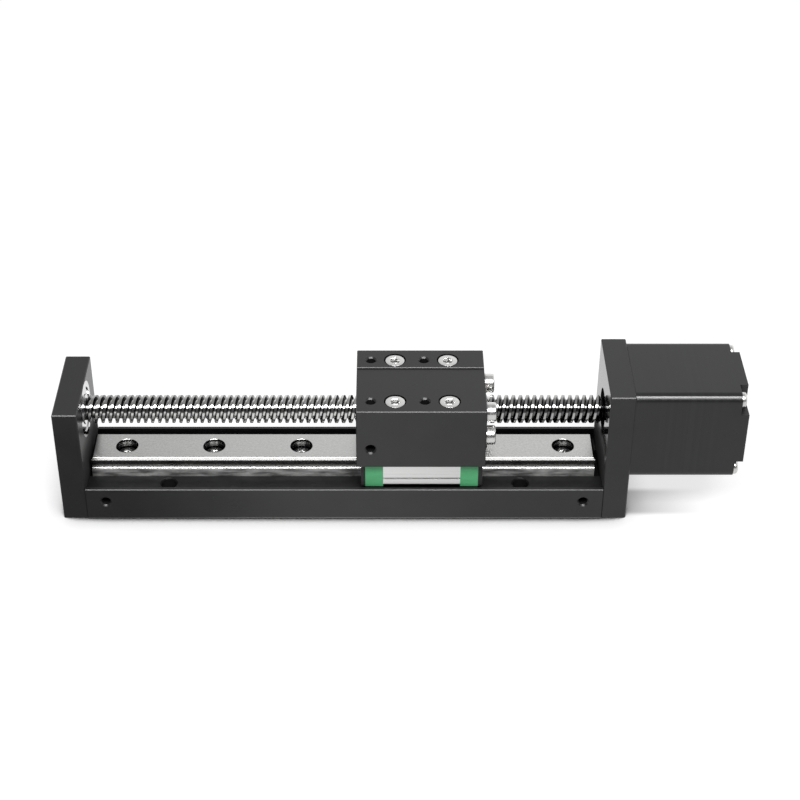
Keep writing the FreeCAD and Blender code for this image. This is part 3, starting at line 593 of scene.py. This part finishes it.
def cap_screw_mesh(length, head):
    """Socket head screw with a knurled head, the underside of its head at the origin."""
    top, depth, head_round = head["height"], head["depth"], head["round"]
    socket = hexagon(head["across"])
    mouth = hexagon(head["across"] + 0.16 * mm)
    rim = knurled(head_radius, screw_columns / 3)
    rings = [
        (-length, m3_radius * 0.75), (-length + 0.4 * mm, m3_radius), (-0.3 * mm, m3_radius),
        (0, m3_radius + 0.1 * mm), (0, head_radius - 0.15 * mm), (0.15 * mm, head_radius - knurl_depth),
        (0.3 * mm, rim), (top - head_round - 0.15 * mm, rim), (top - head_round, head_radius - knurl_depth)]
    steps = 4
    for k in range(1, steps + 1):
        turn = math.pi / 2 * k / steps
        rings.append((top - head_round * (1 - math.sin(turn)),
                      head_radius - knurl_depth - head_round * (1 - math.cos(turn))))
    rings += [(top, mouth), (top - 0.08 * mm, socket), (top - depth, socket),
              (top - depth - 0.3 * mm, 0.25 * mm)]
    bm = bmesh.new()
    add_turned(bm, rings, screw_columns, lambda p: p)
    return mesh_of(bm, "cap_screw")


def pan_screw_mesh(length, pan):
    """Cross recess screw with a domed head."""
    radius, height = pan["radius"], pan["height"]
    recess = cross(radius * 0.62, radius * 0.15)
    floor = cross(radius * 0.42, radius * 0.11)
    rings = [(-length, pan["shank"] * 0.8), (-length + 0.3 * mm, pan["shank"]), (0, pan["shank"]),
             (0, radius - 0.08 * mm), (0.08 * mm, radius), (height * 0.4, radius)]
    steps = 6
    for k in range(1, steps + 1):
        turn = math.pi / 2 * k / steps
        rings.append((height * 0.4 + height * 0.6 * math.sin(turn) * 0.96,
                      radius * (0.66 + 0.34 * math.cos(turn))))
    rings += [(height, recess), (height * 0.35, floor), (height * 0.25, radius * 0.06)]
    bm = bmesh.new()
    add_turned(bm, rings, screw_columns, lambda p: p)
    return mesh_of(bm, "pan_screw")


# Geometry Nodes
def new_tree(name, inputs):
    """Tree with a geometry input and output, and further inputs by name, each of a kind of socket."""
    tree = bpy.data.node_groups.new(name, "GeometryNodeTree")
    tree.interface.new_socket("Geometry", in_out="INPUT", socket_type="NodeSocketGeometry")
    for label, kind in inputs.items():
        tree.interface.new_socket(label, in_out="INPUT", socket_type="NodeSocket" + kind)
    tree.interface.new_socket("Geometry", in_out="OUTPUT", socket_type="NodeSocketGeometry")
    return tree, tree.nodes.new("NodeGroupInput"), tree.nodes.new("NodeGroupOutput")


def grown(mesh, tree, values, name):
    """Run a tree on a mesh and keep its result as a plain mesh."""
    source = object_of(mesh, name + "_source")
    modifier = source.modifiers.new("build", "NODES")
    modifier.node_group = tree
    for item in tree.interface.items_tree:
        if item.in_out == "INPUT" and item.name in values:
            modifier[item.identifier] = values[item.name]
    graph = bpy.context.evaluated_depsgraph_get()
    result = bpy.data.meshes.new_from_object(source.evaluated_get(graph))
    source.modifiers.remove(modifier)
    bpy.data.objects.remove(source)
    result.name = name
    return result


def thread_tree():
    """Helical ridge swept round the X axis: a grid whose rows follow the helix."""
    tree, given, out = new_tree("thread", {
        "rows": "Int", "columns": "Int", "run": "Float", "lead": "Float", "pitch": "Float",
        "crest radius": "Float", "root radius": "Float", "crest share": "Float", "flank share": "Float",
        "left end": "Float", "right end": "Float", "end radius": "Float", "axis height": "Float",
        "finish": "Material"})
    size = given.outputs
    grid = added(tree, "GeometryNodeMeshGrid", {"Size X": 1.0, "Size Y": 1.0})
    linked(tree, given, "rows", grid, "Vertices X")
    linked(tree, given, "columns", grid, "Vertices Y")
    here = added(tree, "GeometryNodeInputPosition")
    apart = added(tree, "ShaderNodeSeparateXYZ")
    linked(tree, here, "Position", apart, "Vector")
    share_along = calculated(tree, "ADD", apart.outputs["X"], 0.5)
    share_round = calculated(tree, "ADD", apart.outputs["Y"], 0.5)
    angle = calculated(tree, "MULTIPLY", share_round, 2 * math.pi)
    along = calculated(tree, "MULTIPLY", share_along, size["run"])
    shift = calculated(tree, "MULTIPLY", share_round, size["lead"])
    x = calculated(tree, "ADD", calculated(tree, "SUBTRACT", along, shift), size["left end"])

    phase = calculated(tree, "FRACT", calculated(tree, "DIVIDE", along, size["pitch"]))
    away = calculated(tree, "ABSOLUTE", calculated(tree, "SUBTRACT", phase, 0.5))
    from_crest = calculated(tree, "MULTIPLY", away, 2.0)
    both_flanks = calculated(tree, "MULTIPLY", size["flank share"], 2.0)
    foot = calculated(tree, "ADD", size["crest share"], both_flanks)
    profile = added(tree, "ShaderNodeMapRange", interpolation_type="LINEAR")
    for socket, value in (("Value", from_crest), ("From Min", size["crest share"]), ("From Max", foot),
                          ("To Min", size["crest radius"]), ("To Max", size["root radius"])):
        tree.links.new(value, profile.inputs[socket])
    left_room = calculated(tree, "SUBTRACT", x, size["left end"])
    right_room = calculated(tree, "SUBTRACT", size["right end"], x)
    room = calculated(tree, "MAXIMUM", calculated(tree, "MINIMUM", left_room, right_room), 0.0)
    limit = calculated(tree, "ADD", room, size["end radius"])
    radius = calculated(tree, "MINIMUM", profile.outputs["Result"], limit)

    y = calculated(tree, "MULTIPLY", radius, calculated(tree, "COSINE", angle))
    rise = calculated(tree, "MULTIPLY", radius, calculated(tree, "SINE", angle))
    z = calculated(tree, "ADD", rise, size["axis height"])
    place = added(tree, "ShaderNodeCombineXYZ")
    for socket, value in (("X", x), ("Y", y), ("Z", z)):
        tree.links.new(value, place.inputs[socket])
    swept = added(tree, "GeometryNodeSetPosition")
    linked(tree, grid, "Mesh", swept, "Geometry")
    linked(tree, place, "Vector", swept, "Position")
    joined = added(tree, "GeometryNodeMergeByDistance", {"Distance": 0.001 * mm})
    linked(tree, swept, "Geometry", joined, "Geometry")
    whole = added(tree, "GeometryNodeRealizeInstances")
    linked(tree, joined, "Geometry", whole, "Geometry")
    dressed = added(tree, "GeometryNodeSetMaterial")
    linked(tree, whole, "Geometry", dressed, "Geometry")
    linked(tree, given, "finish", dressed, "Material")
    linked(tree, dressed, "Geometry", out, "Geometry")
    return tree


def copies_tree():
    """One piece repeated on each point, turned by the point's own angles."""
    tree, given, out = new_tree("copies", {"piece": "Object", "finish": "Material"})
    info = added(tree, "GeometryNodeObjectInfo")
    linked(tree, given, "piece", info, "Object")
    angles = added(tree, "GeometryNodeInputNamedAttribute", {"Name": "turn"}, data_type="FLOAT_VECTOR")
    rotation = added(tree, "FunctionNodeEulerToRotation")
    linked(tree, angles, "Attribute", rotation, "Euler")
    copies = added(tree, "GeometryNodeInstanceOnPoints")
    linked(tree, given, "Geometry", copies, "Points")
    linked(tree, info, "Geometry", copies, "Instance")
    linked(tree, rotation, "Rotation", copies, "Rotation")
    whole = added(tree, "GeometryNodeRealizeInstances")
    linked(tree, copies, "Instances", whole, "Geometry")
    dressed = added(tree, "GeometryNodeSetMaterial")
    linked(tree, whole, "Geometry", dressed, "Geometry")
    linked(tree, given, "finish", dressed, "Material")
    linked(tree, dressed, "Geometry", out, "Geometry")
    return tree


def placed_copies(tree, piece_mesh, spots, finish, name):
    """Copies of a mesh at spots of (place, direction of its +Z), each with its own turn."""
    points = bpy.data.meshes.new(name + "_points")
    points.from_pydata([spot for spot, _ in spots], [], [])
    turns = points.attributes.new("turn", "FLOAT_VECTOR", "POINT")
    for k, (_, direction) in enumerate(spots):
        own = Vector((0, 0, 1)).rotation_difference(Vector(direction)).to_matrix()
        spin = Vector((0, 0, rng.uniform(0, math.tau)))
        turned = own @ Euler(spin).to_matrix()
        turns.data[k].vector = turned.to_euler()
    piece = object_of(piece_mesh, name + "_one")
    mesh = grown(points, tree, {"piece": piece, "finish": finish}, name)
    bpy.data.objects.remove(piece)
    return mesh


def kept(mesh, name, body, slot, *replaced):
    piece = object_of(mesh, name)
    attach(piece, body)
    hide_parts(*replaced)


def middle_of(name):
    low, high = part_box(name)
    return (low + high) / 2


def make_lead_screw():
    low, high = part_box("lead_screw")
    axis = (low.z + high.z) / 2
    crest = (high.z - low.z) / 2
    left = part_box("idle_end_plate")[1].x
    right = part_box("motor_plate")[0].x
    left_end, right_end = left + thread_end_gap, right - thread_end_gap
    pitch = thread_lead / thread_starts
    length = right_end - left_end
    cells = math.ceil((length + thread_lead) / pitch * cells_per_pitch)
    run = cells * pitch / cells_per_pitch
    mesh = grown(bpy.data.meshes.new("start"), thread_tree(), {
        "rows": cells + 1, "columns": thread_columns + 1, "run": run, "lead": thread_lead, "pitch": pitch,
        "crest radius": crest, "root radius": thread_root, "crest share": crest_share,
        "flank share": flank_share, "left end": left_end, "right end": right_end,
        "end radius": neck_radius, "axis height": axis, "finish": finishes["thread_steel"]}, "thread")
    bm = bmesh.new()
    bm.from_mesh(mesh)
    for end, outward in ((left_end, -1), (right_end, 1)):
        cut = bmesh.ops.bisect_plane(bm, geom=bm.verts[:] + bm.edges[:] + bm.faces[:], dist=1e-7,
                                     plane_co=(end, 0, 0), plane_no=(outward, 0, 0), clear_outer=True)
        rim = [e for e in cut["geom_cut"] if isinstance(e, bmesh.types.BMEdge)]
        bmesh.ops.edgeloop_fill(bm, edges=[e for e in rim if e.is_valid and e.is_boundary])

    def along_x(p):
        return (p[2], p[0], axis + p[1])
    bevel, columns = 0.3 * mm, 64
    add_turned(bm, [(low.x, journal_radius - bevel), (low.x + bevel, journal_radius), (left, journal_radius),
                    (left, neck_radius), (left_end + bevel, neck_radius)], columns, along_x)
    tail_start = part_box("front_bearing_inner_ring")[0].x
    add_turned(bm, [(right_end - bevel, neck_radius), (tail_start, neck_radius), (tail_start, journal_radius),
                    (high.x - bevel, journal_radius), (high.x, journal_radius - bevel)], columns, along_x)
    whole = mesh_of(bm, "lead_screw_threaded", sharp=32)
    whole.materials.append(finishes["thread_steel"])
    kept(whole, "lead_screw_threaded", "screw", "thread_steel", "lead_screw")


def screw_places(node, direction, head):
    """Head seats of the screws of a node, found from its separate solids."""
    spots = []
    for low, high in separate_boxes(nodes[node].data):
        middle = (low + high) / 2
        axis = max(range(3), key=lambda k: high[k] - low[k])
        way = direction(middle)
        seat = list(middle)
        seat[axis] = high[axis] - head if way > 0 else low[axis] + head
        facing = [0, 0, 0]
        facing[axis] = way
        spots.append((seat, facing))
    return spots


def separate_boxes(mesh):
    """Lowest and highest corners of each loose part of a mesh."""
    bm = bmesh.new()
    bm.from_mesh(mesh)
    bmesh.ops.remove_doubles(bm, verts=bm.verts, dist=1e-6)
    left = set(bm.verts)
    boxes = []
    while left:
        wave = [left.pop()]
        found = []
        while wave:
            vert = wave.pop()
            found.append(vert.co.copy())
            for edge in vert.link_edges:
                other = edge.other_vert(vert)
                if other in left:
                    left.remove(other)
                    wave.append(other)
        boxes.append((Vector([min(c[k] for c in found) for k in range(3)]),
                      Vector([max(c[k] for c in found) for k in range(3)])))
    bm.free()
    return sorted(boxes, key=lambda b: tuple(round(v, 6) for v in b[0]))


def longest_side(node):
    low, high = separate_boxes(nodes[node].data)[0]
    return max(high - low)


def always_up(middle):
    return 1


def away_from(x):
    def way(middle):
        return 1 if middle.x > x else -1
    return way


def make_screws():
    tree = copies_tree()
    block = middle_of("guide_block").x
    groups = (("plate_screws", "base", away_from(0), cap_screw_mesh, cap_head),
              ("rail_screws", "base", always_up, cap_screw_mesh, low_head),
              ("carriage_screws", "carriage", always_up, cap_screw_mesh, cap_head),
              ("nut_screws", "carriage", always_up, cap_screw_mesh, soft_head),
              ("motor_screws", "base", always_up, pan_screw_mesh, motor_pan),
              ("end_cap_screws", "carriage", away_from(block), pan_screw_mesh, cap_pan))
    for node, body, way, make, head in groups:
        one = make(longest_side(node) - head["height"], head)
        spots = screw_places(node, way, head["height"])
        mesh = placed_copies(tree, one, spots, finishes["bright_screws"], node)
        kept(mesh, node + "_detailed", body, "bright_screws", node)


# Studio
def chosen(tree, ray, output, other, wanted):
    """One shader for a kind of ray, and another for all else."""
    mix = linked(tree, ray, output, tree.nodes.new("ShaderNodeMixShader"), 0)
    linked(tree, other, 0, mix, 1)
    return linked(tree, wanted, 0, mix, 2)


def make_floor():
    """Matt to light. To the camera a glowing paper with its real shadows, a painted contact shadow and a
    painted shadow patch under the motor; to gloss a brightness by place.
    """
    mesh = bpy.data.meshes.new("floor")
    corners = [(x * floor_size, y * floor_size, 0) for x, y in ((-1, -1), (1, -1), (1, 1), (-1, 1))]
    mesh.from_pydata(corners, [], [(0, 1, 2, 3)])
    floor = object_of(mesh, "floor")
    floor.location.z = cad_low.z - floor_gap
    material = bpy.data.materials.new("studio_floor")
    material.use_nodes = True
    tree = material.node_tree
    tree.nodes.clear()
    out = tree.nodes.new("ShaderNodeOutputMaterial")
    matt = added(tree, "ShaderNodeBsdfDiffuse", {"Color": floor_matt})
    # painted contact shadow from ambient occlusion
    near = added(tree, "ShaderNodeAmbientOcclusion", {"Distance": contact_reach}, samples=24)
    open_share = added(tree, "ShaderNodeMapRange", ranges(contact_closed, 1.0, 0.0, 1.0))
    linked(tree, near, "AO", open_share, "Value")
    hidden = calculated(tree, "SUBTRACT", 1.0, open_share.outputs["Result"])
    wide = calculated(tree, "MULTIPLY", hidden, contact_wide)
    close = calculated(tree, "MULTIPLY", calculated(tree, "POWER", hidden, contact_power), contact_close)
    contact = calculated(tree, "SUBTRACT", 1.0, calculated(tree, "ADD", wide, close))
    at = located(tree)
    # painted soft shadow patch under the motor
    across = calculated(tree, "MULTIPLY", graded(tree, at["Y"], *shadow_patch_front),
                        graded(tree, at["Y"], *shadow_patch_back))
    under_motor = calculated(tree, "MULTIPLY", graded(tree, at["X"], *shadow_patch_left),
                             graded(tree, at["X"], *shadow_patch_right))
    depth = calculated(tree, "MULTIPLY", across, under_motor)
    painted_shadows = calculated(tree, "MULTIPLY", contact, calculated(tree, "SUBTRACT", 1.0, depth))
    paper = added(tree, "ShaderNodeBsdfDiffuse")
    tree.links.new(calculated(tree, "MULTIPLY", painted_shadows, floor_paper), paper.inputs["Color"])
    glow = added(tree, "ShaderNodeEmission")
    tree.links.new(calculated(tree, "MULTIPLY", painted_shadows, floor_glow), glow.inputs["Strength"])
    seen = linked(tree, paper, 0, added(tree, "ShaderNodeAddShader"), 0)
    linked(tree, glow, 0, seen, 1)
    in_front = calculated(tree, "MAXIMUM", calculated(tree, "SUBTRACT", mirrored_front, at["Y"]), 0.0)
    behind = calculated(tree, "MAXIMUM", calculated(tree, "SUBTRACT", at["Y"], mirrored_back), 0.0)
    outward = calculated(tree, "ADD", calculated(tree, "MULTIPLY", in_front, 0.6),
                         calculated(tree, "MULTIPLY", behind, 3.0))
    left = graded(tree, calculated(tree, "ADD", at["X"], outward), *mirrored_left)
    near_right = calculated(tree, "SUBTRACT", at["X"], calculated(tree, "MULTIPLY", behind, 2.0))
    right = graded(tree, near_right, *mirrored_right)
    mirrored = added(tree, "ShaderNodeEmission")
    tree.links.new(calculated(tree, "MULTIPLY", left, right), mirrored.inputs["Strength"])
    ray = tree.nodes.new("ShaderNodeLightPath")
    for_gloss = chosen(tree, ray, "Is Glossy Ray", matt, mirrored)
    linked(tree, chosen(tree, ray, "Is Camera Ray", for_gloss, seen), 0, out, "Surface")
    mesh.materials.append(material)


def make_world():
    """White to the camera; to gloss, a white back that fades to the left and upwards and a dark front."""
    world = bpy.data.worlds.new("studio")
    bpy.context.scene.world = world
    world.use_nodes = True
    tree = world.node_tree
    tree.nodes.clear()
    out = tree.nodes.new("ShaderNodeOutputWorld")
    place = added(tree, "ShaderNodeTexCoord")
    apart = added(tree, "ShaderNodeSeparateXYZ")
    linked(tree, place, "Generated", apart, "Vector")
    side = graded(tree, apart.outputs["X"], *world_side)
    above = graded(tree, apart.outputs["Z"], *world_above)
    front = graded(tree, apart.outputs["Z"], *world_front)
    both = blended(tree, graded(tree, apart.outputs["Y"], *world_turn), front, above)
    white = (1, 1, 1, 1)
    mirrored = added(tree, "ShaderNodeBackground", {"Color": white})
    tree.links.new(calculated(tree, "MULTIPLY", side, both), mirrored.inputs["Strength"])
    fill = added(tree, "ShaderNodeBackground", {"Color": white, "Strength": world_fill})
    seen = added(tree, "ShaderNodeBackground", {"Color": white, "Strength": 1.0})
    ray = tree.nodes.new("ShaderNodeLightPath")
    for_gloss = chosen(tree, ray, "Is Glossy Ray", fill, mirrored)
    linked(tree, chosen(tree, ray, "Is Camera Ray", for_gloss, seen), 0, out, "Surface")


def make_key_light():
    light = bpy.data.lights.new("key", "AREA")
    light.shape = "RECTANGLE"
    light.size = key_width
    light.size_y = key_height
    light.energy = key_power
    lamp = bpy.data.objects.new("key", light)
    bpy.context.scene.collection.objects.link(lamp)
    back = Vector((math.sin(key_azimuth) * math.cos(key_elevation),
                   -math.cos(key_azimuth) * math.cos(key_elevation), math.sin(key_elevation)))
    aim = Vector(key_aim)
    lamp.location = aim + back * key_distance
    lamp.rotation_euler = back.to_track_quat("Z", "Y").to_euler()
    lamp.visible_camera = False


def make_camera():
    data = bpy.data.cameras.new("camera")
    data.sensor_width = sensor
    data.lens = focal_pixels / image_width * sensor
    data.shift_x = (image_width / 2 - principal_x) / image_width
    data.clip_start, data.clip_end = 0.01, 20.0
    camera = bpy.data.objects.new("camera", data)
    camera.location = camera_place
    camera.rotation_euler = (math.pi / 2 - camera_pitch, 0, 0)
    bpy.context.scene.collection.objects.link(camera)
    bpy.context.scene.camera = camera


dress_cad_nodes()
make_lead_screw()
make_screws()
make_floor()
make_world()
make_key_light()
make_camera()
bpy.context.scene.view_settings.view_transform = "Standard"
